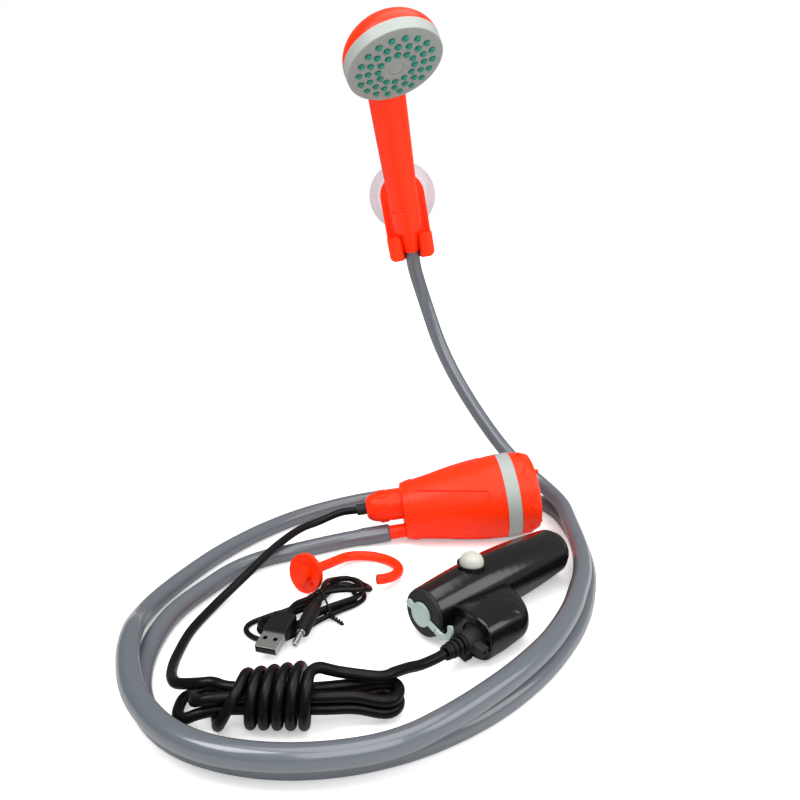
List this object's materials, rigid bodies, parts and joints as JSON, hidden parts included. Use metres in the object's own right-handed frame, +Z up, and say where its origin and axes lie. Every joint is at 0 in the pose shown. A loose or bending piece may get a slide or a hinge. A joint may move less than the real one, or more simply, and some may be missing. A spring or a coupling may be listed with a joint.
{
  "type": "camp_shower_pump",
  "caption": "Camp shower kit with an orange submersible pump, grey hose, shower handset on a suction bracket, round battery pack on its cable, hanging hook and a coiled charging lead",
  "frame": {"origin": "middle of the suction cup's face on the wall", "axes": "+Y into the wall, +Z up, +X to the right as seen by someone facing the wall; the kit's floor is 237 mm below the origin"},
  "size_m": [0.2752, 0.3665, 0.3431],
  "materials": {
    "clear_rubber": "matte",
    "orange_plastic": "satin",
    "pale_plastic": "satin",
    "grey_plastic": "satin",
    "teal_rubber": "matte",
    "grey_hose": "gloss",
    "black_gloss": "gloss",
    "black_matte": "matte",
    "button_plastic": "satin",
    "cover_rubber": "matte",
    "black_cable": "matte",
    "steel": "brushed",
    "brass_bush": "satin",
    "seal_rubber": "matte",
    "screen_steel": "brushed",
    "board": "matte",
    "cell_wrap": "gloss"
  },
  "bodies": {
    "kit": {"suction_cup": "clear_rubber", "bracket": "orange_plastic", "hose_riser": "grey_hose", "hose_loops": "grey_hose", "pump_body": "orange_plastic", "pump_band": "pale_plastic", "pump_chamber": "black_matte", "shaft_seal": "seal_rubber", "intake_plate": "black_matte", "motor_can": "steel", "motor_bushes": "brass_bush", "gland_nut": "orange_plastic", "gland_grommet": "seal_rubber", "cable_sleeve": "black_matte", "outlet_nipple": "orange_plastic", "pump_cable": "black_cable", "cable_hank": "black_cable", "cable_tail": "black_cable", "battery_plug": "black_matte", "plug_relief": "black_cable", "power_socket": "black_matte", "pack_shell": "black_gloss", "front_cap": "black_matte", "rear_cap": "black_matte", "cap_seals": "seal_rubber", "button_switch": "black_matte", "circuit_board": "board", "charge_jack": "black_matte", "cover_strap": "cover_rubber", "battery_cell": "cell_wrap"},
    "nut": {"hose_nut": "orange_plastic", "nut_washer": "seal_rubber"},
    "handset": {"handset_shell": "orange_plastic", "spray_plate": "pale_plastic", "nozzle_mat": "teal_rubber", "face_seal": "seal_rubber", "centre_cap": "teal_rubber"},
    "rotor": {"motor_shaft": "steel", "impeller": "black_matte"},
    "strainer": {"strainer_cap": "orange_plastic", "filter_screen": "screen_steel"},
    "button": {"power_button": "button_plastic"},
    "cover": {"charge_cover": "cover_rubber"},
    "hook": {"hanging_hook": "orange_plastic"},
    "lead": {"usb_shell": "steel", "usb_tongue": "black_matte", "usb_body": "black_matte", "lead_hank": "black_cable", "twist_tie": "black_cable", "dc_plug": "black_matte", "dc_barrel": "steel"}
  },
  "joints": [
    {"name": "handset_lift", "type": "slide", "parent": "kit", "child": "nut", "axis": [-0.161, -0.3746, 0.9131], "range_m": [0, 0.04], "deforming": ["hose_riser"]},
    {"name": "handset_turn", "type": "hinge", "parent": "nut", "child": "handset", "pos_m": [0.00729, -0.028, -0.04136], "axis": [-0.161, -0.3746, 0.9131], "range_deg": [-90, 90]},
    {"name": "rotor_spin", "type": "hinge", "parent": "kit", "child": "rotor", "pos_m": [0, -0.134, -0.21599], "axis": [0.9877, 0.0864, 0.1305], "continuous": true},
    {"name": "strainer_turn", "type": "hinge", "parent": "kit", "child": "strainer", "pos_m": [0, -0.134, -0.21599], "axis": [0.9877, 0.0864, 0.1305], "range_deg": [0, 30]},
    {"name": "button_press", "type": "slide", "parent": "kit", "child": "button", "axis": [0, 0, -1], "range_m": [0, 0.0015], "stiffness_N_per_m": 800},
    {"name": "charge_cover_open", "type": "hinge", "parent": "kit", "child": "cover", "pos_m": [0.01624, -0.26704, -0.22375], "axis": [0.2136, -0.2457, 0.9455], "range_deg": [0, 110]},
    {"name": "hook_lift", "type": "slide", "parent": "lead", "child": "hook", "axis": [0, 0, 1], "range_m": [0, 0.05]},
    {"name": "lead_lift", "type": "slide", "parent": "kit", "child": "lead", "axis": [0, 0, 1], "range_m": [0, 0.05]}
  ]
}
